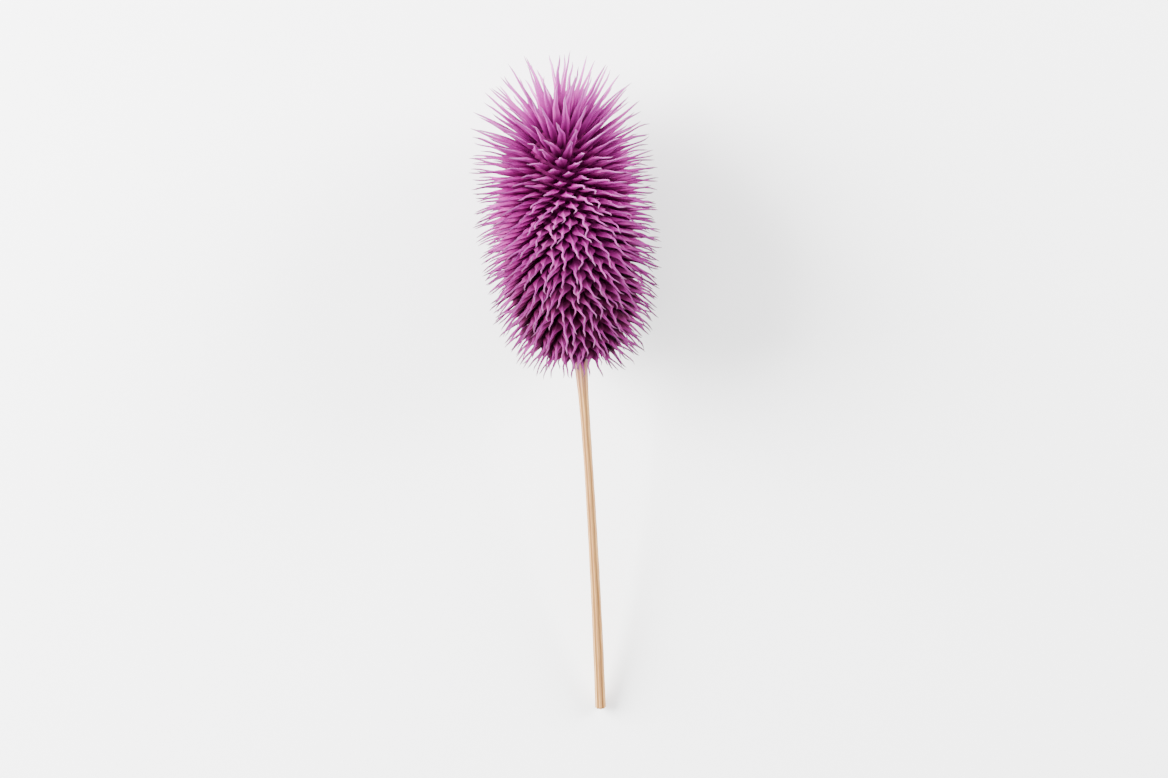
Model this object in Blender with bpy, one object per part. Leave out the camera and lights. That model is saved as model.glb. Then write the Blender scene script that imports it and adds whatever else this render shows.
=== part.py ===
"""Teasel seed head lying on its side: a barrel of spiny bracts on a ribbed, bent stem with a cut end.

Metres, +Z up. The head's tip points to +Y, the stem's cut end to -Y, and the floor is z = 0.
The head is first built upright about its own axis (local +Z toward the tip) and laid down at the end.
"""

import math

import bmesh
import bpy
import numpy as np
from mathutils import Matrix, Vector

MM = 0.001
SEED = 4879

# The core that the bracts grow from: a barrel with a rounded foot and a more pointed crown.
CORE_RADIUS = 9.7 * MM
FOOT_HEIGHT = 22.5 * MM
CROWN_HEIGHT = 26.5 * MM
FOOT_ROUNDNESS = 2.9
CROWN_ROUNDNESS = 2.25

# The bracts: their number, the bare disc round the stem, and how they change from foot to crown.
BRACT_COUNT = 760
BARE_RADIUS = 3.0 * MM
GOLDEN_ANGLE = math.radians(137.508)
PLACE_JITTER = 0.10 * MM
VALLEY_DEPTH = 0.25 * MM
PLACES = (0.0, 0.10, 0.28, 0.48, 0.62, 0.74, 0.84, 0.93, 1.0)
LENGTHS_MM = (7.6, 8.8, 9.9, 10.0, 10.2, 11.4, 13.0, 14.2, 14.4)
RISES_DEG = (-64.0, -46.0, -26.0, -12.0, -2.0, 12.0, 34.0, 58.0, 84.0)
LENGTH_SPREAD = 0.07
ANGLE_SPREAD_DEG = 3.0
SHOULDER_SHARE = 0.39
SHOULDER_HALF_WIDTH = 0.92 * MM
SHOULDER_KEEL = 0.60 * MM
TIP_DROOP = 0.16
TIP_SWAY = 0.07

# How the head lies: its tip is raised a little, and its lowest spines are pressed flat on the floor.
HEAD_RAISE_DEG = 5.0
PRESS_DEPTH = 0.9 * MM

# The stem, measured from the foot of the core.
STEM_LENGTH = 84.0 * MM
STEM_INSET = 4.0 * MM
STEM_SWAY = -3.0 * MM
STEM_PLACES_MM = (-4.0, 0.0, 3.0, 8.0, 16.0, 30.0, 55.0, 84.0)
STEM_RADII_MM = (1.85, 1.90, 1.62, 1.30, 1.05, 1.00, 1.10, 1.22)
STEM_RIBS = 8
RIB_DEPTH = 0.13
STEM_STATIONS = 22
JOINT_GAP = 0.3 * MM
SOCKET_EXTRA_DEPTH = 0.5 * MM
END_PRESS = 0.12 * MM

FLOOR_BLOCK = (0.12, 0.30, 0.02)


def clear():
    for obj in list(bpy.data.objects):
        bpy.data.objects.remove(obj, do_unlink=True)


def material(name, color, roughness):
    mat = bpy.data.materials.new(name)
    mat.use_nodes = True
    shader = mat.node_tree.nodes["Principled BSDF"]
    shader.inputs["Base Color"].default_value = (*color, 1.0)
    shader.inputs["Roughness"].default_value = roughness
    return mat


def core_profile():
    """The core's outline as height, radius and running length, from the foot's pole to the crown's."""
    sweep = np.linspace(0.0, math.pi, 6001)
    rise, out = -np.cos(sweep), np.sin(sweep)
    power = np.where(rise < 0, FOOT_ROUNDNESS, CROWN_ROUNDNESS)
    half = np.where(rise < 0, FOOT_HEIGHT, CROWN_HEIGHT)
    height = half * np.sign(rise) * np.abs(rise) ** (2 / power)
    radius = CORE_RADIUS * np.abs(out) ** (2 / power)
    steps = np.hypot(np.diff(height), np.diff(radius))
    run = np.concatenate([[0.0], np.cumsum(steps)])
    even = np.linspace(0.0, run[-1], 4001)
    return np.interp(even, run, height), np.interp(even, run, radius), even


def bract_places(rng):
    """Golden-angle places that give every bract the same area of core.

    Returns the turn about the axis, the running length and the share of it, foot to crown.
    """
    height, radius, run = core_profile()
    bands = math.pi * (radius[1:] + radius[:-1]) * np.diff(run)
    area = np.concatenate([[0.0], np.cumsum(bands)])
    bare = np.interp(BARE_RADIUS, radius[: len(radius) // 3], area[: len(radius) // 3])
    number = np.arange(BRACT_COUNT)
    wanted = bare + (area[-1] - bare) * (number + 0.5) / BRACT_COUNT
    along = np.interp(wanted, area, run)
    turn = number * GOLDEN_ANGLE
    girth = np.maximum(np.interp(along, run, radius), BARE_RADIUS)
    along = along + rng.uniform(-PLACE_JITTER, PLACE_JITTER, BRACT_COUNT)
    along = np.clip(along, 0.0, run[-1] - 0.2 * MM)
    turn = turn + rng.uniform(-PLACE_JITTER, PLACE_JITTER, BRACT_COUNT) / girth
    return turn, along, along / run[-1]


def on_core(turn, along):
    """Points of the core's surface."""
    height, radius, run = core_profile()
    girth = np.interp(along, run, radius)
    return np.stack([girth * np.cos(turn), girth * np.sin(turn), np.interp(along, run, height)], axis=-1)


def sphere_image(turn, along):
    """Where the places fall on a sphere that the core maps to with its angles kept."""
    _, radius, run = core_profile()
    stretch = 1.0 / np.maximum(radius, 0.02 * MM)
    middle = (stretch[1:] + stretch[:-1]) / 2 * np.diff(run)
    rising = np.concatenate([[0.0], np.cumsum(middle)])
    rising -= np.interp(run[-1] / 2, run, rising)
    level = np.interp(along, run, rising)
    girth = 1.0 / np.cosh(level)
    points = [girth * np.cos(turn), girth * np.sin(turn), np.tanh(level)]
    return np.stack(points, axis=-1)


def neighbours(points):
    """Triangles between places that lie next to each other: the hull of their image on the sphere."""
    mesh = bmesh.new()
    for point in points:
        mesh.verts.new(point)
    layer = mesh.verts.layers.int.new("place")
    for number, vert in enumerate(mesh.verts):
        vert[layer] = number
    bmesh.ops.convex_hull(mesh, input=mesh.verts)
    bmesh.ops.recalc_face_normals(mesh, faces=mesh.faces)
    triangles = [[vert[layer] for vert in face.verts] for face in mesh.faces]
    mesh.free()
    return triangles


def bract_frame(turn, rise):
    """A bract's own directions: outward along it, sideways round the head, and up its inner face."""
    ahead = Vector((math.cos(rise) * math.cos(turn), math.cos(rise) * math.sin(turn), math.sin(rise)))
    side = Vector((-math.sin(turn), math.cos(turn), 0.0))
    return ahead, side, ahead.cross(side)


def stitch(mesh, outer, outer_angles, inner, inner_angles):
    """A closed strip of triangles between two loops that both run anticlockwise."""
    nearest = []
    for angle in outer_angles:
        away = [abs(math.remainder(angle - other, math.tau)) for other in inner_angles]
        nearest.append(away.index(min(away)))
    for here in range(len(outer)):
        there = (here + 1) % len(outer)
        at, goal = nearest[here], nearest[there]
        mesh.faces.new((outer[here], outer[there], inner[at]))
        while at != goal:
            after = (at + 1) % len(inner)
            mesh.faces.new((outer[there], inner[after], inner[at]))
            at = after


def add_bract(mesh, chance, ring, foot, turn, share):
    """One bract: a broad foot on its own cell, a three-edged shoulder with a keel below, a thin awn."""
    spread = math.radians(ANGLE_SPREAD_DEG)
    rise = math.radians(np.interp(share, PLACES, RISES_DEG)) + spread * chance[0]
    length = float(np.interp(share, PLACES, LENGTHS_MM)) * MM * (1 + LENGTH_SPREAD * chance[1])
    ahead, side, up = bract_frame(turn + spread * chance[2], rise)
    foot = Vector(foot)
    middle = foot + ahead * length * SHOULDER_SHARE
    droop = TIP_DROOP * (1.0 - share) + 0.02 * chance[3]
    tip = foot + (ahead - up * droop + side * (TIP_SWAY * chance[4])) * length
    shoulder = [
        mesh.verts.new(middle + side * SHOULDER_HALF_WIDTH + up * 0.10 * MM),
        mesh.verts.new(middle - side * SHOULDER_HALF_WIDTH + up * 0.10 * MM),
        mesh.verts.new(middle - up * SHOULDER_KEEL),
    ]
    end = mesh.verts.new(tip)
    offsets = [(vert.co - foot) for vert in ring]
    angles = [math.atan2(offset.dot(up), offset.dot(side)) for offset in offsets]
    corners = [math.radians(30.0), math.radians(150.0), math.radians(270.0)]
    stitch(mesh, ring, angles, shoulder, corners)
    for here in range(3):
        mesh.faces.new((shoulder[here], shoulder[(here + 1) % 3], end))


def head_mesh():
    """The core's surface, cut into one cell to a bract, with a bract raised on every cell."""
    rng = np.random.default_rng(SEED)
    turn, along, share = bract_places(rng)
    chances = rng.uniform(-1.0, 1.0, (BRACT_COUNT, 5))
    feet = on_core(turn, along)
    image = np.vstack([sphere_image(turn, along), [[0.0, 0.0, -1.0]]])
    pole = len(feet)
    triangles = neighbours(image)

    # A valley lies between every three bracts; the cells' corners are the valleys.
    surface = np.vstack([feet, on_core(np.zeros(1), np.zeros(1))])
    mesh = bmesh.new()
    cells = [[] for _ in range(pole + 1)]
    for triangle in triangles:
        middle = surface[triangle].mean(axis=0)
        inward = -middle * np.array([1.0, 1.0, 0.35])
        inward /= max(np.linalg.norm(inward), 1e-9)
        valley = mesh.verts.new(middle + inward * VALLEY_DEPTH)
        centre = image[triangle].mean(axis=0)
        for place in triangle:
            cells[place].append((valley, centre))

    for place, cell in enumerate(cells):
        out = Vector(image[place])
        first = Vector(cell[0][1]) - out
        across = (first - out * first.dot(out)).normalized()
        along_round = out.cross(across)
        order = []
        for valley, centre in cell:
            offset = Vector(centre) - out
            order.append((math.atan2(offset.dot(along_round), offset.dot(across)), valley))
        order.sort(key=lambda item: item[0])
        ring = [valley for _, valley in order]
        if place == pole:
            mesh.faces.new(ring)
        else:
            add_bract(mesh, chances[place].tolist(), ring, feet[place], float(turn[place]), float(share[place]))
    bmesh.ops.triangulate(mesh, faces=[face for face in mesh.faces if len(face.verts) > 3])
    return mesh


def new_object(name, mesh, mat, parts, holder):
    data = bpy.data.meshes.new(name)
    mesh.to_mesh(data)
    mesh.free()
    data.materials.append(mat)
    obj = bpy.data.objects.new(name, data)
    obj.parent = holder
    parts.objects.link(obj)
    return obj


def cutter(name, mesh, helpers, holder):
    data = bpy.data.meshes.new(name)
    mesh.to_mesh(data)
    mesh.free()
    obj = bpy.data.objects.new(name, data)
    obj.parent = holder
    obj.display_type = "WIRE"
    obj.hide_render = True
    helpers.objects.link(obj)
    return obj


def cut(obj, tool):
    boolean = obj.modifiers.new(tool.name, "BOOLEAN")
    boolean.operation = "DIFFERENCE"
    boolean.object = tool


def stem_path(down_axis, foot_height):
    """Points along the stem from the core's foot, which sags until its cut end lies on the floor."""
    places = np.linspace(-STEM_INSET, STEM_LENGTH, STEM_STATIONS)
    outside = np.clip(places, 0.0, None) / STEM_LENGTH
    straight = places[:, None] * np.array(down_axis)[None, :]
    end_radius = STEM_RADII_MM[-1] * MM
    sag = foot_height + straight[-1, 2] - end_radius
    for _ in range(4):
        centres = straight.copy()
        centres[:, 0] += STEM_SWAY * outside**1.6
        centres[:, 2] -= sag * outside**1.8
        last = Vector(centres[-1] - centres[-2]).normalized()
        lowest = foot_height + centres[-1, 2] - end_radius * math.sqrt(1.0 - last.z**2)
        sag += lowest + END_PRESS
    return places, centres


def stem_mesh(down_axis, foot_height):
    """A closed tube whose rings follow the stem, with a ridge at every other corner."""
    places, centres = stem_path(down_axis, foot_height)
    mesh = bmesh.new()
    rings = []
    for place, centre, direction in zip(places, centres, np.gradient(centres, axis=0)):
        turned = Vector(direction).to_track_quat("Z", "Y").to_matrix().to_4x4()
        radius = float(np.interp(place / MM, STEM_PLACES_MM, STEM_RADII_MM)) * MM
        made = bmesh.ops.create_circle(
            mesh, segments=2 * STEM_RIBS, radius=radius, matrix=Matrix.Translation(centre) @ turned
        )
        for vert in made["verts"][1::2]:
            vert.co += (Vector(centre) - vert.co) * RIB_DEPTH
        rings.append(made["verts"])
    for lower, upper in zip(rings, rings[1:]):
        ends = (set(lower), set(upper))
        edges = {edge for end in ends for vert in end for edge in vert.link_edges}
        loops = [edge for edge in edges if any(end.issuperset(edge.verts) for end in ends)]
        bmesh.ops.bridge_loops(mesh, edges=loops)
    mesh.faces.new(rings[0])
    mesh.faces.new(rings[-1])
    bmesh.ops.recalc_face_normals(mesh, faces=mesh.faces[:])
    return mesh


def build():
    clear()
    parts = bpy.data.collections.new("teasel_seed_head")
    helpers = bpy.data.collections.new("cutters")
    for collection in (parts, helpers):
        bpy.context.scene.collection.children.link(collection)
    dyed = material("dyed_bract", (0.37, 0.085, 0.29), 0.62)
    straw = material("straw_stem", (0.62, 0.45, 0.28), 0.70)
    holder = bpy.data.objects.new("teasel", None)
    parts.objects.link(holder)

    # The head is turned from upright to lying and lowered until its lowest spines press on the floor.
    head = new_object("seed_head", head_mesh(), dyed, parts, holder)
    head.rotation_euler = (-math.radians(90.0 - HEAD_RAISE_DEG), 0.0, 0.0)
    turned = head.rotation_euler.to_matrix()
    tips = [turned @ vert.co for vert in head.data.vertices]
    head.location.z = -min(tip.z for tip in tips) - PRESS_DEPTH

    foot = head.location + turned @ Vector((0.0, 0.0, -FOOT_HEIGHT))
    down_axis = turned @ Vector((0.0, 0.0, -1.0))
    stem = new_object("stem", stem_mesh(down_axis, foot.z), straw, parts, holder)
    stem.location = foot

    # A blind socket for the stem's top, and the floor that flattens what reaches below it.
    socket = bmesh.new()
    radius = max(STEM_RADII_MM) * MM + JOINT_GAP
    depth = 2 * (STEM_INSET + SOCKET_EXTRA_DEPTH)
    bmesh.ops.create_cone(socket, cap_ends=True, segments=24, radius1=radius, radius2=radius, depth=depth)
    socket_cutter = cutter("socket_cutter", socket, helpers, holder)
    socket_cutter.location = foot
    socket_cutter.rotation_euler = head.rotation_euler
    block = bmesh.new()
    bmesh.ops.create_cube(block, size=1.0)
    bmesh.ops.scale(block, vec=FLOOR_BLOCK, verts=block.verts)
    floor_cutter = cutter("floor_cutter", block, helpers, holder)
    floor_cutter.location = (0.0, -0.04, -FLOOR_BLOCK[2] / 2)
    cut(head, socket_cutter)
    cut(head, floor_cutter)
    cut(stem, floor_cutter)

    # The middle of the whole object's box goes over the origin.
    corners = tips + [stem.location - head.location + vert.co for vert in stem.data.vertices]
    box = np.array([corner[:2] for corner in corners])
    middle = (box.min(axis=0) + box.max(axis=0)) / 2
    holder.location = (-middle[0], -middle[1], 0.0)


build()
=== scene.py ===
# %% [markdown]
# # A dyed teasel head on its stem
# A teasel is a barrel of stiff bracts. Each bract grows from its own small cell on a solid core, starts
# broad and keeled like a boat, and narrows to a dry, springy awn. This one was dyed magenta after it
# dried, so the dye is deepest between the bracts and palest on the awns and at the crown. Its colour
# also holds painted shade between the bracts and painted highlights along the midribs of the awns.
# It lies on its side, its tip toward +Y, with the cut end of its straw-coloured stem toward -Y.

import math

import bmesh
import bpy
import numpy as np
from mathutils import Euler, Matrix, Vector


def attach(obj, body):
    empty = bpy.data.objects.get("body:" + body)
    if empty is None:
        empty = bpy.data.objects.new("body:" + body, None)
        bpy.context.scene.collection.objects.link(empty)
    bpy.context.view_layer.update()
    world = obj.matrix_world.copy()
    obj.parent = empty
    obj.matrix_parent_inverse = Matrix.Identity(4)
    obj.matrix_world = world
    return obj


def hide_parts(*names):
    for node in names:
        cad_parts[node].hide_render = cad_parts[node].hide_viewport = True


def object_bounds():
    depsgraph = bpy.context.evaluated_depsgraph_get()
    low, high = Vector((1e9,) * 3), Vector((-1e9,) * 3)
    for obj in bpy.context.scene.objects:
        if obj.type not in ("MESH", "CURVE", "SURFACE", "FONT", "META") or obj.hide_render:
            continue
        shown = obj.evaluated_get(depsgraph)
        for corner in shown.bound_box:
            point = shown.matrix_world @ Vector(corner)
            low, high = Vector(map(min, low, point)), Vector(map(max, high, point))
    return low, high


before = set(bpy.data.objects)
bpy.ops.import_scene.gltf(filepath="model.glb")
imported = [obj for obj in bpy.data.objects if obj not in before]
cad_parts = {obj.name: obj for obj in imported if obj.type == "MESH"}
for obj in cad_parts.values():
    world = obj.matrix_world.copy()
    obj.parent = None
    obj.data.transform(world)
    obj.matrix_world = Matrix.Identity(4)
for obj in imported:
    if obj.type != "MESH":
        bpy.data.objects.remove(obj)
cad_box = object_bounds()
MM = 0.001
print("solid model, mm:", [[round(v / MM, 1) for v in corner] for corner in cad_box])

# %% [markdown]
# ## Where the head lies
# The solid model gives the head's place: upright it would stand along +Z, and it is turned by 85 degrees
# so that its tip points to +Y and looks up a little. Everything on the head is worked out upright and
# turned at the end, because a plant's rules are simplest about its own axis.

# %% The head's own frame
HEAD_CENTRE = Vector((-0.12918, 33.04078, 19.01706)) * MM
HEAD_RAISE = math.radians(5.0)
tipped_over = Euler((HEAD_RAISE - math.pi / 2, 0.0, 0.0)).to_matrix().to_4x4()
laid = Matrix.Translation(HEAD_CENTRE) @ tipped_over
turned = np.array(laid.to_3x3())
print("head axis:", [round(v, 3) for v in laid.to_3x3() @ Vector((0, 0, 1))])

# %% [markdown]
# ## The core's outline
# The receptacle is a barrel with a round foot and a more pointed crown. A superellipse with one power
# for the foot and another for the crown gives that outline from five numbers.

# %% Height and radius of the core at every length run along its outline
CORE_RADIUS = 9.7 * MM
FOOT_HEIGHT, CROWN_HEIGHT = 22.5 * MM, 26.5 * MM
FOOT_ROUNDNESS, CROWN_ROUNDNESS = 2.9, 2.25
sweep = np.linspace(0.0, math.pi, 6001)
rise, out = -np.cos(sweep), np.sin(sweep)
power = np.where(rise < 0, FOOT_ROUNDNESS, CROWN_ROUNDNESS)
half = np.where(rise < 0, FOOT_HEIGHT, CROWN_HEIGHT)
height = half * np.sign(rise) * np.abs(rise) ** (2 / power)
radius = CORE_RADIUS * np.abs(out) ** (2 / power)
run = np.concatenate([[0.0], np.cumsum(np.hypot(np.diff(height), np.diff(radius)))])
even = np.linspace(0.0, run[-1], 4001)
height, radius, run = np.interp(even, run, height), np.interp(even, run, radius), even
print(f"core outline {run[-1] / MM:.1f} mm long, {2 * radius.max() / MM:.1f} mm thick")

# %% [markdown]
# ## Places for the bracts
# Each new bract grows 137.5 degrees round from the last one, the golden angle, and every bract gets the
# same area of core. That one rule makes the crossing spirals that a teasel shows. A little seeded
# unevenness keeps it from looking machined.

# %% Golden-angle places, and how bracts change from foot to crown
SEED, LOOK_SEED = 4879, 77
FULL_TURN = 6.28
BRACT_COUNT = 760
GOLDEN_ANGLE = math.radians(137.508)
BARE_RADIUS = 3.0 * MM
PLACE_JITTER = 0.10 * MM
PLACES = (0.0, 0.10, 0.28, 0.48, 0.62, 0.74, 0.84, 0.93, 1.0)
LENGTHS_MM = (7.6, 8.8, 9.9, 10.0, 10.2, 11.4, 13.0, 14.2, 14.4)
RISES_DEG = (-64.0, -46.0, -26.0, -12.0, -2.0, 12.0, 34.0, 58.0, 84.0)
LENGTH_SPREAD, ANGLE_SPREAD = 0.07, math.radians(3.0)
TIP_DROOP, TIP_SWAY = 0.16, 0.07

rng = np.random.default_rng(SEED)
bands = math.pi * (radius[1:] + radius[:-1]) * np.diff(run)
area = np.concatenate([[0.0], np.cumsum(bands)])
bare = np.interp(BARE_RADIUS, radius[: len(radius) // 3], area[: len(radius) // 3])
number = np.arange(BRACT_COUNT)
along = np.interp(bare + (area[-1] - bare) * (number + 0.5) / BRACT_COUNT, area, run)
girth = np.maximum(np.interp(along, run, radius), BARE_RADIUS)
along = along + rng.uniform(-PLACE_JITTER, PLACE_JITTER, BRACT_COUNT)
along = np.clip(along, 0.0, run[-1] - 0.2 * MM)
turn = number * GOLDEN_ANGLE + rng.uniform(-PLACE_JITTER, PLACE_JITTER, BRACT_COUNT) / girth
share = along / run[-1]
draws = rng.uniform(-1.0, 1.0, (BRACT_COUNT, 5))
lift = np.radians(np.interp(share, PLACES, RISES_DEG)) + ANGLE_SPREAD * draws[:, 0]
length = np.interp(share, PLACES, LENGTHS_MM) * MM * (1 + LENGTH_SPREAD * draws[:, 1])
facing = turn + ANGLE_SPREAD * draws[:, 2]
droop = TIP_DROOP * (1.0 - share) + 0.02 * draws[:, 3]
print(f"{BRACT_COUNT} bracts, {length.min() / MM:.1f} to {length.max() / MM:.1f} mm long")


# %% [markdown]
# ## Numbers for each bract
# Every bract needs its foot, three directions to stand by, and its own numbers. Those that the solid
# model has too come from the same draws as above. The others change looks only, so they have draws of
# their own: how broad it is, where its waves start, how much dye it took, and how far its awn falls or
# veers off beyond the knee. Awns low on the head are the most unruly.


# %% The bracts' feet and directions, turned with the head
def laid_down(vectors):
    return vectors @ turned.T


zero = np.zeros(BRACT_COUNT)
girth = np.interp(along, run, radius)
feet = np.stack([girth * np.cos(turn), girth * np.sin(turn), np.interp(along, run, height)], axis=-1)
feet = laid_down(feet) + np.array(HEAD_CENTRE)
ahead = np.stack([np.cos(lift) * np.cos(facing), np.cos(lift) * np.sin(facing), np.sin(lift)], axis=-1)
side = np.stack([-np.sin(facing), np.cos(facing), zero], axis=-1)
up = np.cross(ahead, side)
ahead, side, up = laid_down(ahead), laid_down(side), laid_down(up)

FALL_PLACES = (0.0, 0.12, 0.3, 0.6, 0.9)
FALLS = (-0.20, -0.14, 0.04, 0.04, 0.0)
looks = np.random.default_rng(LOOK_SEED)
bract_facts = {
    "ahead": ahead,
    "side": side,
    "up": up,
    "long": length,
    "wide": 1.0 + 0.10 * looks.uniform(-1, 1, BRACT_COUNT),
    "droop": droop,
    "sway": TIP_SWAY * draws[:, 4],
    "phase": looks.uniform(0, FULL_TURN, BRACT_COUNT),
    "share": share,
    "tint": looks.uniform(0, 1, BRACT_COUNT),
    "veer": (1.0 - 0.7 * share) * 0.42 * looks.uniform(-1, 1, BRACT_COUNT),
    "fall": np.interp(share, FALL_PLACES, FALLS)
    + (1.0 - share) * 0.20 * looks.uniform(-1, 1, BRACT_COUNT),
}
tips = feet + ahead * length[:, None]
print("lowest bract tip before it is pressed, mm:", round(float(tips[:, 2].min() / MM), 2))

# %% [markdown]
# ## Sums on sockets
# Node trees are easier to read as sums. `Amount` wraps one output socket and turns `a * b + 1` into Math
# nodes; `Recipe` adds any other node from its type, its settings and its inputs. Both work for geometry
# and for materials.


# %% Two small helpers for node trees
class Amount:
    """A number that runs along a wire, for use in sums."""

    def __init__(self, recipe, socket):
        self.recipe, self.socket = recipe, socket

    def sum(self, kind, *values):
        made = self.recipe.node("ShaderNodeMath", {"operation": kind}, dict(enumerate(values)))
        return Amount(self.recipe, made.outputs[0])

    def __add__(self, other):
        return self.sum("ADD", self, other)

    def __sub__(self, other):
        return self.sum("SUBTRACT", self, other)

    def __mul__(self, other):
        return self.sum("MULTIPLY", self, other)

    def __pow__(self, other):
        return self.sum("POWER", self, other)

    def __rsub__(self, other):
        return self.sum("SUBTRACT", other, self)

    __radd__, __rmul__ = __add__, __mul__


class Recipe:
    """A node tree that is being written."""

    def __init__(self, tree):
        self.tree = tree

    def node(self, kind, settings=None, inputs=None):
        made = self.tree.nodes.new(kind)
        for name, value in (settings or {}).items():
            if name == "stops":
                ramp = made.color_ramp
                while len(ramp.elements) < len(value):
                    ramp.elements.new(0.5)
                for element, (place, color) in zip(ramp.elements, value):
                    element.position, element.color = place, (*color, 1.0)
            else:
                setattr(made, name, value)
        for key, value in (inputs or {}).items():
            if isinstance(value, Amount):
                self.tree.links.new(value.socket, made.inputs[key])
            else:
                made.inputs[key].default_value = value
        return made

    def out(self, kind, settings=None, inputs=None, socket=0):
        return Amount(self, self.node(kind, settings, inputs).outputs[socket])


# %% Helpers for geometry trees
class Growth(Recipe):
    """A geometry tree with named inputs."""

    def __init__(self, name, inputs):
        super().__init__(bpy.data.node_groups.new(name, "GeometryNodeTree"))
        face = self.tree.interface
        face.new_socket(name="Geometry", in_out="OUTPUT", socket_type="NodeSocketGeometry")
        face.new_socket(name="Geometry", in_out="INPUT", socket_type="NodeSocketGeometry")
        for title, kind in inputs.items():
            face.new_socket(name=title, in_out="INPUT", socket_type=kind)
        self.group = self.node("NodeGroupInput")

    def given(self, title):
        return Amount(self, self.group.outputs[title])

    def fact(self, name, kind="FLOAT"):
        return self.out("GeometryNodeInputNamedAttribute", {"data_type": kind}, {"Name": name})

    def vector(self, kind, first, second):
        second_key = "Scale" if kind == "SCALE" else 1
        return self.out("ShaderNodeVectorMath", {"operation": kind}, {0: first, second_key: second})

    def keep(self, geometry, name, value, kind="FLOAT"):
        keys = {"Geometry": geometry, "Name": name, "Value": value}
        return self.out("GeometryNodeStoreNamedAttribute", {"data_type": kind, "domain": "POINT"}, keys)

    def finish(self, geometry, material):
        painted = self.out("GeometryNodeSetMaterial", inputs={"Geometry": geometry, "Material": material})
        self.node("NodeGroupOutput", inputs={"Geometry": painted})
        return self.tree


def mesh_of(shape, name, material=None):
    """Turns a bmesh into a mesh and frees it."""
    mesh = bpy.data.meshes.new(name)
    shape.to_mesh(mesh)
    shape.free()
    if material:
        mesh.materials.append(material)
    return mesh


def shown(name, mesh):
    """An object in the scene with this mesh."""
    piece = bpy.data.objects.new(name, mesh)
    bpy.context.scene.collection.objects.link(piece)
    return piece


def grown(name, seed_mesh, tree, values):
    """Runs a geometry tree on a mesh and gives its result as a plain mesh object."""
    source = shown(name + "_source", seed_mesh)
    modifier = source.modifiers.new("growth", "NODES")
    modifier.node_group = tree
    for item in tree.interface.items_tree:
        if item.in_out == "INPUT" and item.name in values:
            modifier[item.identifier] = values[item.name]
    graph = bpy.context.evaluated_depsgraph_get()
    mesh = bpy.data.meshes.new_from_object(source.evaluated_get(graph), depsgraph=graph)
    bpy.data.objects.remove(source, do_unlink=True)
    mesh.name = name
    mesh.calc_loop_triangles()
    print(f"{name}: {len(mesh.loop_triangles)} triangles")
    return shown(name, mesh)


def with_facts(mesh, facts):
    """Stores numbers and vectors on a mesh's points."""
    for name, values in facts.items():
        values = np.asarray(values, dtype=np.float32)
        kind, key = ("FLOAT_VECTOR", "vector") if values.ndim == 2 else ("FLOAT", "value")
        mesh.attributes.new(name, kind, "POINT").data.foreach_set(key, values.ravel())
    return mesh


# %% [markdown]
# ## Dyed bract
# Dry plant fibre, quite matte. The dye collected deep between the bracts and stayed thin on the stiff
# awns, so colour runs from plum at a bract's foot, which is deepened with painted shade, to lilac pink
# along its midrib, where a pale stripe is a painted highlight, and the ends are a little grey. The crown
# is paler, and the lowest bracts are darkest, from painted shade.
# Each bract took the dye a little differently. `reach` is how far along its bract a point lies, `ridge`
# is how near its midrib, and `share` is how near the crown the bract grows.


# %% The dyed finish
def paint(red, green, blue):
    """A colour picked from a screen, as light."""
    return tuple(((v / 255 + 0.055) / 1.055) ** 2.4 if v > 10 else v / 3295 for v in (red, green, blue))


class Finish(Recipe):
    """A material that is being written."""

    def __init__(self, name):
        self.material = bpy.data.materials.new(name)
        self.material.use_nodes = True
        super().__init__(self.material.node_tree)
        self.shader = self.tree.nodes["Principled BSDF"]

    def fact(self, name, socket="Fac"):
        return self.out("ShaderNodeAttribute", {"attribute_name": name}, socket=socket)

    def noise(self, where, scale, detail=3.0, roughness=0.6):
        keys = {"Vector": where, "Scale": scale, "Detail": detail, "Roughness": roughness}
        return self.out("ShaderNodeTexNoise", inputs=keys)

    def blend(self, factor, below, above, kind="MIX"):
        below = below if isinstance(below, Amount) else (*below, 1.0)
        above = above if isinstance(above, Amount) else (*above, 1.0)
        keys = {0: factor, 6: below, 7: above}
        return self.out("ShaderNodeMix", {"data_type": "RGBA", "blend_type": kind}, keys, socket=2)

    def ramp(self, factor, *stops):
        return self.out("ShaderNodeValToRGB", {"stops": stops}, {"Fac": factor})

    def between(self, value, low, high, to_low=0.0, to_high=1.0):
        keys = {"Value": value, "From Min": low, "From Max": high, "To Min": to_low, "To Max": to_high}
        return self.out("ShaderNodeMapRange", {"interpolation_type": "SMOOTHSTEP"}, keys)

    def set(self, **values):
        for name, value in values.items():
            socket = self.shader.inputs[name.replace("_", " ").title().replace("Ior", "IOR")]
            if isinstance(value, Amount):
                self.tree.links.new(value.socket, socket)
            else:
                socket.default_value = value
        return self.material


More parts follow.
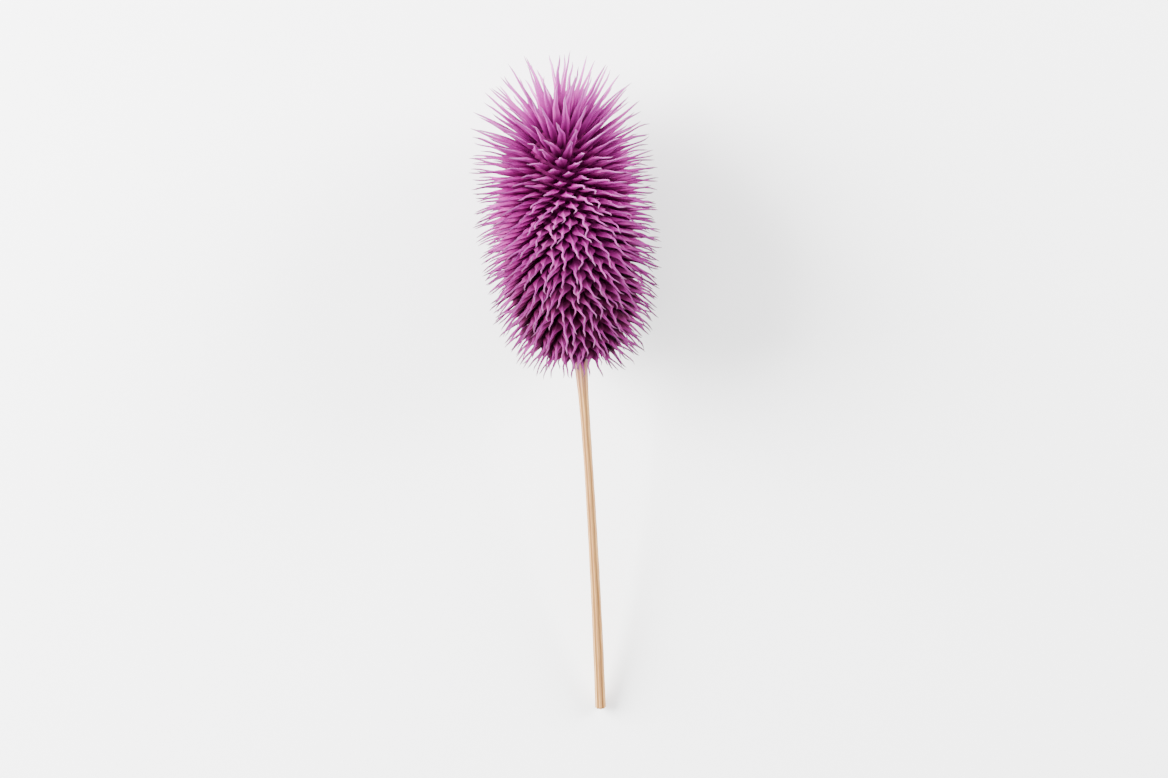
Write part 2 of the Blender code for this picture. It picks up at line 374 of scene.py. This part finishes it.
def dyed_finish():
    dyed = Finish("dyed_bract")
    reach, share_, tint = dyed.fact("reach"), dyed.fact("share"), dyed.fact("tint")
    here = dyed.out("ShaderNodeTexCoord", socket="Object")
    # Darkest at a bract's foot: partly deeper dye, partly painted shade between the bracts.
    body = dyed.ramp(
        reach,
        (0.00, paint(88, 2, 66)),
        (0.18, paint(118, 8, 94)),
        (0.34, paint(128, 18, 104)),
        (0.48, paint(134, 30, 112)),
        (0.62, paint(142, 46, 126)),
        (0.82, paint(132, 62, 122)),
        (0.92, paint(122, 78, 112)),
        (1.00, paint(104, 78, 96)),
    )
    crown = dyed.ramp(
        reach,
        (0.00, paint(78, 2, 58)),
        (0.22, paint(112, 18, 94)),
        (0.52, paint(144, 50, 130)),
        (0.84, paint(174, 98, 166)),
        (1.00, paint(146, 104, 138)),
    )
    near_crown = dyed.between(share_, 0.66, 0.95)
    color = dyed.blend(near_crown, body, crown)
    # Painted highlight: a pale stripe along the midrib of each awn, whiter at the crown.
    along_awn = dyed.between(reach, 0.42, 0.60) * dyed.between(reach, 0.75, 1.0, 1.0, 0.5)
    rib = dyed.fact("ridge") ** 4.0 * along_awn
    pale = dyed.blend(near_crown, paint(208, 118, 196), paint(240, 196, 232))
    color = dyed.blend(rib * (0.65 + near_crown * 0.2), color, pale)
    uneven = dyed.blend(tint, paint(218, 182, 212), paint(250, 238, 245))
    color = dyed.blend(0.75, color, uneven, "MULTIPLY")
    patches = dyed.noise(here, 170.0)
    clear = dyed.between(reach, 0.10, 0.45)
    color = dyed.blend(clear * dyed.between(patches, 0.45, 0.75, 0.0, 0.35), color, paint(190, 84, 160))
    specks = dyed.noise(here, 2600.0, 2.0)
    color = dyed.blend(clear * dyed.between(specks, 0.60, 0.78, 0.0, 0.22), color, paint(214, 140, 192))
    # Painted shade: bracts low on the head, toward the foot, are darkened, their bodies most.
    painted_low_shade = dyed.between(share_, 0.26, 0.72, 1.0, 0.0) * dyed.between(reach, 0.42, 0.62, 1.0, 0.5)
    color = dyed.blend(painted_low_shade, color, paint(106, 78, 90), "MULTIPLY")
    bump = dyed.out("ShaderNodeBump", inputs={"Strength": 0.35, "Distance": 0.00006, "Height": specks})
    rough = dyed.between(patches, 0.3, 0.7, 0.62, 0.78)
    return dyed.set(base_color=color, roughness=rough, normal=bump, specular_ior_level=0.04)


dyed_bract = dyed_finish()
print("finish:", dyed_bract.name)

# %% [markdown]
# ## One bract
# A bract is a boat with a lid: two thin margins, a keel below, and a raised midrib above that catches
# the light and runs on into the awn. Over most of the head the lower half is broad and then narrows
# quickly, like a scale with a bristle. At the crown it is a long lance. Both are drawn once, one unit
# long and at their true width, with eight points to a ring, because they are repeated hundreds of times.

# %% Half-width, keel and midrib along the two kinds of bract
REACH = (-0.05, 0.08, 0.20, 0.30, 0.38, 0.45, 0.51, 0.57, 0.65, 0.74, 0.83, 0.92, 1.0)
SCALE_MM = (
    (0.86, 1.00, 1.16, 1.32, 1.36, 1.16, 0.74, 0.40, 0.26, 0.22, 0.20, 0.16, 0.03),
    (0.84, 0.80, 0.74, 0.68, 0.60, 0.48, 0.36, 0.28, 0.22, 0.19, 0.17, 0.14, 0.03),
    (0.30, 0.40, 0.50, 0.56, 0.56, 0.48, 0.38, 0.28, 0.22, 0.19, 0.17, 0.13, 0.03),
)
LANCE_MM = (
    (0.84, 0.92, 0.92, 0.86, 0.78, 0.68, 0.58, 0.48, 0.38, 0.31, 0.25, 0.16, 0.02),
    (0.70, 0.70, 0.60, 0.52, 0.46, 0.41, 0.37, 0.32, 0.26, 0.22, 0.18, 0.12, 0.02),
    (0.34, 0.46, 0.54, 0.56, 0.54, 0.50, 0.46, 0.40, 0.33, 0.27, 0.22, 0.14, 0.02),
)


def bract_blade(name, outline):
    blade = bmesh.new()
    reach_of = blade.verts.layers.float.new("reach")
    ridge_of = blade.verts.layers.float.new("ridge")
    rings = []
    for reach, wide, keel, rib in zip(REACH, *outline):
        ring = [(-wide, 0.0, 0.5), (-0.6 * wide, -0.55 * keel, 0.0), (0.0, -keel, 0.2)]
        ring += [(0.6 * wide, -0.55 * keel, 0.0), (wide, 0.0, 0.5), (0.42 * wide, 0.30 * rib, 0.0)]
        ring += [(0.0, rib, 1.0), (-0.42 * wide, 0.30 * rib, 0.0)]
        rings.append([blade.verts.new((x * MM, y * MM, reach)) for x, y, _ in ring])
        for vert, (_, _, ridge) in zip(rings[-1], ring):
            vert[reach_of] = max(reach, 0.0)
            vert[ridge_of] = ridge
    for lower, upper in zip(rings, rings[1:]):
        for a, b in zip(range(8), (1, 2, 3, 4, 5, 6, 7, 0)):
            face = blade.faces.new((lower[a], lower[b], upper[b], upper[a]))
            face.smooth = True
    blade.faces.new(rings[-1])
    blade.faces.new(rings[0][::-1])
    bmesh.ops.recalc_face_normals(blade, faces=blade.faces[:])
    for edge in blade.edges:
        lengthwise = abs(edge.verts[0].co.z - edge.verts[1].co.z) > 0.01
        edge.smooth = not (lengthwise and min(vert[ridge_of] for vert in edge.verts) > 0.4)
    return bpy.data.objects.new(name, mesh_of(blade, name))


scale_bract = bract_blade("scale_bract", SCALE_MM)
lance_bract = bract_blade("lance_bract", LANCE_MM)
print("one bract:", len(scale_bract.data.polygons), "faces")

# %% [markdown]
# ## Barbs
# A hand lens shows short stiff hairs along a bract's margins. They catch the light as a fine fringe. One
# set of them is drawn for one bract, in the same unit frame, so the same tree can place and bend them.


# %% One bract's barbs
BARBS_A_SIDE = 9
BARB_THICKNESS = 0.030 * MM


def bract_barbs():
    barbs = bmesh.new()
    reach_of = barbs.verts.layers.float.new("reach")
    chance = np.random.default_rng(5)
    for hand in (-1, 1):
        for step in range(BARBS_A_SIDE):
            reach = 0.10 + 0.085 * step + chance.uniform(-0.02, 0.02)
            wide = np.interp(reach, REACH, SCALE_MM[0])
            size = chance.uniform(0.20, 0.38) * (1.0 - 0.45 * reach)
            root = Vector((hand * (wide - 0.05), 0.0, 0.0)) * MM
            point = root + Vector((hand * 0.72 * size, 0.30 * size, 0.0)) * MM
            half = Vector((0.0, BARB_THICKNESS, 0.0))
            corners = [root + half, root - half, root]
            levels = (reach - 0.003, reach - 0.003, reach + 0.005)
            base = [barbs.verts.new((c.x, c.y, level)) for c, level in zip(corners, levels)]
            tip = barbs.verts.new((point.x, point.y, reach + 0.045 * size / 0.3))
            for vert in base + [tip]:
                vert[reach_of] = reach
            for a, b in ((0, 1), (1, 2), (2, 0)):
                barbs.faces.new((base[a], base[b], tip))
            barbs.faces.new(base[::-1])
    bmesh.ops.recalc_face_normals(barbs, faces=barbs.faces[:])
    return mesh_of(barbs, "bract_barbs")


barb_set = bpy.data.objects.new("barb_set", bract_barbs())
print("barbs on one bract:", len(barb_set.data.polygons) // 4)

# %% [markdown]
# ## Bracts over the core
# Geometry Nodes set one bract on every place, make the copies real, and then bend each one by its own
# numbers: the whole bract droops, sways and wavers, and beyond its knee the awn also falls or veers
# off. Where the head lies on the floor its lowest awns are pressed, which an exponential gives without
# ever letting two points meet.


# %% The tree that grows bracts
def bract_cover():
    inputs = {"Shape": "NodeSocketObject", "Finish": "NodeSocketMaterial"}
    inputs |= {name: "NodeSocketFloat" for name in ("Waver", "Knee", "Press")}
    tree = Growth("bract_cover", inputs)
    shape = tree.out("GeometryNodeObjectInfo", inputs={"Object": tree.given("Shape")}, socket="Geometry")
    axes = {"Primary Axis": tree.fact("ahead", "FLOAT_VECTOR")}
    axes["Secondary Axis"] = tree.fact("up", "FLOAT_VECTOR")
    aim = tree.out("FunctionNodeAxesToRotation", {"primary_axis": "Z", "secondary_axis": "Y"}, axes)
    long, wide = tree.fact("long"), tree.fact("wide")
    size = tree.out("ShaderNodeCombineXYZ", inputs={0: wide, 1: wide, 2: long})
    copies = {"Points": tree.given("Geometry"), "Instance": shape, "Rotation": aim, "Scale": size}
    set_out = tree.out("GeometryNodeInstanceOnPoints", inputs=copies)
    real = tree.out("GeometryNodeRealizeInstances", inputs={"Geometry": set_out})

    reach, long, waver = tree.fact("reach"), tree.fact("long"), tree.given("Waver")
    bend = reach**2.0 * long
    swing = reach * 8.0 + tree.fact("phase")
    wave = swing.sum("SINE", swing) + 0.7 * swing.sum("SINE", swing * 2.3)
    nod = swing.sum("COSINE", swing * 0.8)
    awn = long * reach.sum("MAXIMUM", reach - tree.given("Knee"), 0.0)
    down = bend * (nod * waver - tree.fact("droop")) - awn * tree.fact("fall")
    across = bend * (tree.fact("sway") + wave * waver) + awn * tree.fact("veer")
    upward = tree.vector("SCALE", tree.fact("up", "FLOAT_VECTOR"), down)
    sideways = tree.vector("SCALE", tree.fact("side", "FLOAT_VECTOR"), across)
    moved = tree.vector("ADD", upward, sideways)
    bent = tree.out("GeometryNodeSetPosition", inputs={"Geometry": real, "Offset": moved})

    where = tree.node("ShaderNodeSeparateXYZ", inputs={0: tree.out("GeometryNodeInputPosition")})
    x, y, z = (Amount(tree, where.outputs[axis]) for axis in range(3))
    soft = tree.given("Press")
    power = z.sum("DIVIDE", z - soft, soft)
    pressed = soft * power.sum("EXPONENT", power)
    z = z.sum("MAXIMUM", z, soft) + pressed.sum("MINIMUM", pressed, soft) - soft
    place = tree.out("ShaderNodeCombineXYZ", inputs={0: x, 1: y, 2: z})
    laid_on = tree.out("GeometryNodeSetPosition", inputs={"Geometry": bent, "Position": place})
    return tree.finish(laid_on, tree.given("Finish"))


def places_of(name, chosen):
    """The feet of the chosen bracts as loose points that carry their bracts' numbers."""
    mesh = bpy.data.meshes.new(name)
    mesh.from_pydata(feet[chosen].tolist(), [], [])
    return with_facts(mesh, {fact: values[chosen] for fact, values in bract_facts.items()})


LANCE_FROM = 0.80
lances = share + 0.03 * looks.uniform(-1, 1, BRACT_COUNT) > LANCE_FROM
cover = bract_cover()
values = {"Waver": 0.038, "Knee": 0.45, "Press": 0.3 * MM, "Finish": dyed_bract}
scales, barbed = places_of("scale_places", ~lances), places_of("barb_places", ~lances)
bracts = grown("bracts", scales, cover, {**values, "Shape": scale_bract})
barbs = grown("barbs", barbed, cover, {**values, "Shape": barb_set})
values |= {"Waver": 0.018, "Shape": lance_bract}
crown = grown("crown_bracts", places_of("lance_places", lances), cover, values)

# %% [markdown]
# ## The core
# Between the bracts the receptacle shows dark: it takes the bract finish at its darkest, partly dye and
# partly painted shade. A sphere whose points slide onto the
# core's outline keeps its poles closed. It lies a tenth of a millimetre deep, so every bract's foot
# stands in it.


# %% The receptacle's surface
SUNK_BY = 0.12 * MM


def receptacle():
    core = bmesh.new()
    bmesh.ops.create_uvsphere(core, u_segments=96, v_segments=72, radius=1.0)
    core.verts.layers.float.new("reach")
    share_of = core.verts.layers.float.new("share")
    for vert in core.verts:
        part = math.acos(max(-1.0, min(1.0, -vert.co.z))) / math.pi
        around = math.atan2(vert.co.y, vert.co.x)
        out_by = np.interp(part * run[-1], run, radius) - SUNK_BY * math.sin(part * math.pi)
        level = np.interp(part * run[-1], run, height)
        vert.co = laid @ Vector((out_by * math.cos(around), out_by * math.sin(around), level))
        vert[share_of] = part
    for face in core.faces:
        face.smooth = True
    # Its colour is the bract finish at reach zero, the darkest: partly dye, partly painted shade.
    return shown("receptacle", mesh_of(core, "receptacle", dyed_bract))


core = receptacle()
print("receptacle:", len(core.data.polygons), "faces")

# %% [markdown]
# ## Straw stem
# The stem dried to straw: long pale and tawny streaks follow its ribs, the furrows hold more shade, and
# just under the head it is stained by the dye. `grain` is a coordinate that runs round and along the
# stem, so noise on it stretches into fibres without a seam.


# %% The straw finish and the pith finish
def straw_finish():
    straw = Finish("straw_stem")
    grain = straw.fact("grain", "Vector")
    furrow, down = straw.fact("furrow"), straw.fact("down")
    fibres = straw.noise(grain, 6.0, 4.0, 0.65)
    bands = straw.noise(grain, 1.3, 2.0)
    color = straw.ramp(
        fibres,
        (0.28, paint(112, 74, 32)),
        (0.45, paint(150, 106, 54)),
        (0.60, paint(180, 136, 78)),
        (0.78, paint(208, 170, 112)),
    )
    color = straw.blend(straw.between(bands, 0.45, 0.75, 0.0, 0.45), color, paint(158, 104, 54))
    color = straw.blend(furrow * 0.60, color, paint(104, 68, 34))
    color = straw.blend(straw.between(down, 0.02, 0.16, 0.36, 0.0), color, paint(176, 104, 126))
    color = straw.blend(straw.between(down, 0.01, 0.09, 0.80, 0.0), color, paint(112, 40, 84))
    height_ = fibres + bands * 0.5
    bump = straw.out("ShaderNodeBump", inputs={"Strength": 0.5, "Distance": 0.00008, "Height": height_})
    rough = straw.between(fibres, 0.3, 0.7, 0.42, 0.62)
    return straw.set(base_color=color, roughness=rough, normal=bump, specular_ior_level=0.45)


def pith_finish():
    pith = Finish("pith")
    here = pith.out("ShaderNodeTexCoord", socket="Object")
    foam = pith.noise(here, 3800.0, 3.0)
    color = pith.ramp(foam, (0.35, paint(186, 166, 130)), (0.6, paint(232, 222, 198)))
    bump = pith.out("ShaderNodeBump", inputs={"Strength": 0.6, "Distance": 0.0001, "Height": foam})
    return pith.set(base_color=color, normal=bump, roughness=0.85)


straw_stem, pith_white = straw_finish(), pith_finish()
print("finishes:", straw_stem.name, pith_white.name)

# %% [markdown]
# ## The stem's path
# The stem leaves the core's foot along the head's axis, sways a little to one side and sags until the
# lower edge of its cut end rests on the floor. The path is a polyline with a radius at every point.

# %% Points and radii along the stem
STEM_LENGTH, STEM_INSET, STEM_SWAY = 84.0 * MM, 4.0 * MM, -3.0 * MM
STEM_PLACES_MM = (-4.0, 0.0, 3.0, 8.0, 16.0, 30.0, 55.0, 84.0)
STEM_RADII_MM = (1.85, 1.90, 1.62, 1.30, 1.05, 1.00, 1.10, 1.22)
RIBS, RIB_DEPTH = 8, 0.13
POINTS_ROUND, POINTS_ALONG = 96, 150

foot = laid @ Vector((0.0, 0.0, -FOOT_HEIGHT))
down_axis = laid.to_3x3() @ Vector((0.0, 0.0, -1.0))
steps = np.linspace(-STEM_INSET, STEM_LENGTH, POINTS_ALONG)
outside = np.clip(steps, 0.0, None) / STEM_LENGTH
straight = steps[:, None] * np.array(down_axis)[None, :] + np.array(foot)[None, :]
end_radius = STEM_RADII_MM[-1] * MM
sag = straight[-1, 2] - end_radius
for _ in range(4):
    centres = straight.copy()
    centres[:, 0] += STEM_SWAY * outside**1.6
    centres[:, 2] -= sag * outside**1.8
    last = Vector(centres[-1] - centres[-2]).normalized()
    lowest = centres[-1, 2] - end_radius * math.sqrt(1.0 - last.z**2)
    sag += lowest - 0.01 * MM
stem_radii = np.interp(steps / MM, STEM_PLACES_MM, STEM_RADII_MM) * MM
smooth = np.convolve(np.pad(stem_radii, 4, mode="edge"), np.ones(9) / 9, mode="valid")
wobble = 1.0 + 0.012 * np.sin(steps / MM * 0.9) + 0.010 * np.sin(steps / MM * 0.37 + 1.0)
print(f"stem ends at {[round(float(v) / MM, 1) for v in centres[-1]]} mm")

# %% [markdown]
# ## Ribs along the stem
# Curve to Mesh sweeps one profile along the path. The profile is a circle whose points are pulled in
# between eight ribs, with finer lines on them, and it stores how deep each point lies as `furrow` for
# the finish.


# %% The tree that sweeps a ribbed profile
def ribbed_stalk():
    inputs = {"Ribs": "NodeSocketFloat", "Depth": "NodeSocketFloat", "Finish": "NodeSocketMaterial"}
    tree = Growth("ribbed_stalk", inputs)
    circle = tree.out("GeometryNodeCurvePrimitiveCircle", inputs={"Resolution": POINTS_ROUND, "Radius": 1.0})
    split = tree.node("ShaderNodeSeparateXYZ", inputs={0: tree.out("GeometryNodeInputPosition")})
    x, y = (Amount(tree, split.outputs[axis]) for axis in range(2))
    angle = x.sum("ARCTAN2", y, x)
    ribs = angle.sum("COSINE", angle * tree.given("Ribs"))
    fine = angle.sum("SINE", angle * 31.0) + angle.sum("SINE", angle * 19.0 + 1.3)
    furrow = 0.5 - ribs * 0.5
    pull = 1.0 - furrow * tree.given("Depth") - 0.010 * fine - 0.02
    position = tree.out("GeometryNodeInputPosition")
    pulled = tree.vector("SCALE", position, pull)
    profile = tree.keep(tree.keep(circle, "furrow", furrow), "round", position, "FLOAT_VECTOR")
    profile = tree.out("GeometryNodeSetPosition", inputs={"Geometry": profile, "Position": pulled})
    rail = tree.out("GeometryNodeMeshToCurve", inputs={"Mesh": tree.given("Geometry")})
    ends = {"Curve": rail, "Profile Curve": profile, "Scale": tree.fact("thick"), "Fill Caps": True}
    swept = tree.out("GeometryNodeCurveToMesh", inputs=ends)
    lengthwise = tree.out("ShaderNodeCombineXYZ", inputs={0: 0.0, 1: 0.0, 2: tree.fact("down") * 1.6})
    grain = tree.vector("ADD", tree.fact("round", "FLOAT_VECTOR"), lengthwise)
    swept = tree.keep(swept, "grain", grain, "FLOAT_VECTOR")
    swept = tree.out("GeometryNodeRealizeInstances", inputs={"Geometry": swept})
    return tree.finish(swept, tree.given("Finish"))


rail = bpy.data.meshes.new("stem_rail")
rail.from_pydata(centres.tolist(), [(i, i + 1) for i in range(len(centres) - 1)], [])
with_facts(rail, {"thick": smooth * wobble, "down": outside})
stalk_values = {"Ribs": float(RIBS), "Depth": RIB_DEPTH, "Finish": straw_stem}
stalk = grown("stalk", rail, ribbed_stalk(), stalk_values)
for polygon in stalk.data.polygons:
    polygon.use_smooth = len(polygon.vertices) < 5
print("stalk lowest point, mm:", round(min(v.co.z for v in stalk.data.vertices) / MM, 3))

# %% [markdown]
# ## The cut end
# The stem was cut clean across. Inside its woody wall is pale, foamy pith, which shrank back a little
# and stands as a low uneven dome on the cut.


# %% The pith on the cut
def cut_pith():
    pith = bmesh.new()
    bmesh.ops.create_uvsphere(pith, u_segments=24, v_segments=12, radius=1.0)
    chance = np.random.default_rng(12)
    aim = Vector(centres[-1] - centres[-2]).to_track_quat("Z", "Y").to_matrix().to_4x4()
    place = Matrix.Translation(Vector(centres[-1])) @ aim
    for vert in pith.verts:
        uneven = 1.0 + chance.uniform(-0.05, 0.05)
        local = Vector((vert.co.x * 0.72 * uneven, vert.co.y * 0.72 * uneven, vert.co.z * 0.07)) * MM
        vert.co = place @ local
    for face in pith.faces:
        face.smooth = True
    return shown("cut_pith", mesh_of(pith, "cut_pith", pith_white))


pith = cut_pith()
print("pith:", len(pith.data.polygons), "faces")

# %% [markdown]
# ## Tie the pieces to the solid model
# The bracts, their barbs and the core stand for the solid head; the stalk and its pith stand for the
# solid stem. All of them ride on the one rigid body.

# %% What rides and what replaces what
for piece in (bracts, crown, barbs, core):
    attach(piece, "root")
    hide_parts("seed_head")
for piece in (stalk, pith):
    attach(piece, "root")
    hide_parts("stem")
for shape in (scale_bract, lance_bract, barb_set):
    bpy.data.objects.remove(shape, do_unlink=True)

# %% [markdown]
# ## Floor, light and camera
# A plain near-white floor, one large soft lamp low at the upper left, a softer fill from the right and
# a white sky that is brightest at the upper left. The camera looks down on the lying head, a little
# from its crown's side, and is rolled a few degrees so that the tip leans left as it does in the picture.


# %% Floor and lights
def floor_plane():
    floor_mesh = bmesh.new()
    bmesh.ops.create_grid(floor_mesh, x_segments=1, y_segments=1, size=3.0)
    pale = Finish("pale_floor").set(base_color=(0.97, 0.97, 0.975, 1.0), roughness=0.9)
    return shown("floor", mesh_of(floor_mesh, "floor", pale))


def lamp(name, place, size, watts, target=(0.0, 0.01, 0.015)):
    data = bpy.data.lights.new(name, "AREA")
    data.shape, data.size, data.energy = "DISK", size, watts
    piece = bpy.data.objects.new(name, data)
    piece.location = place
    piece.rotation_euler = (Vector(target) - Vector(place)).to_track_quat("-Z", "Y").to_euler()
    bpy.context.scene.collection.objects.link(piece)
    return piece


def studio_sky(bright_side, dimmest, brightest):
    """A white sky whose strength grows toward one side."""
    sky = bpy.data.worlds.new("sky")
    sky.use_nodes = True
    glow = Recipe(sky.node_tree)
    toward = glow.out("ShaderNodeTexCoord", socket="Generated")
    keys = {0: toward, 1: bright_side}
    nearness = glow.out("ShaderNodeVectorMath", {"operation": "DOT_PRODUCT"}, keys, "Value")
    keys = {"Value": nearness, "From Min": -1.0, "From Max": 1.0, "To Min": dimmest, "To Max": brightest}
    strength = glow.out("ShaderNodeMapRange", inputs=keys)
    background = sky.node_tree.nodes["Background"]
    background.inputs["Color"].default_value = (1.0, 1.0, 1.0, 1.0)
    sky.node_tree.links.new(strength.socket, background.inputs["Strength"])
    return sky


floor_plane()
key = lamp("key", (-0.72, 0.34, 0.32), 0.70, 72.0)
fill = lamp("fill", (0.80, 0.34, 0.26), 0.60, 40.0)
bpy.context.scene.world = studio_sky((-0.78, 0.56, 0.28), 0.32, 2.2)
print("lamps:", key.data.energy, "and", fill.data.energy, "W")

# %% The camera
VIEW_ROLL = math.radians(5.5)
VIEW_TILT = math.radians(7.0)
FRAME_FILL = 0.87
lens = bpy.data.cameras.new("camera")
lens.sensor_width, lens.lens, lens.clip_start = 36.0, 105.0, 0.01
lens.dof.use_dof = False
camera = bpy.data.objects.new("camera", lens)
bpy.context.scene.collection.objects.link(camera)
bpy.context.scene.camera = camera
back = Vector((0.0, math.sin(VIEW_TILT), math.cos(VIEW_TILT)))
tall = cad_box[1][1] - cad_box[0][1]
distance = tall / FRAME_FILL / (36.0 * 778 / 1168) * lens.lens
middle = Vector((0.0, 0.0, 0.014))
upward = (Vector((0.0, 1.0, 0.0)) - back * back.y).normalized()
look = Matrix((upward.cross(back), upward, back)).transposed().to_4x4()
roll = Matrix.Rotation(-VIEW_ROLL, 4, "Z")
camera.matrix_world = Matrix.Translation(middle + back * distance) @ look @ roll
print(f"camera {distance:.2f} m away")
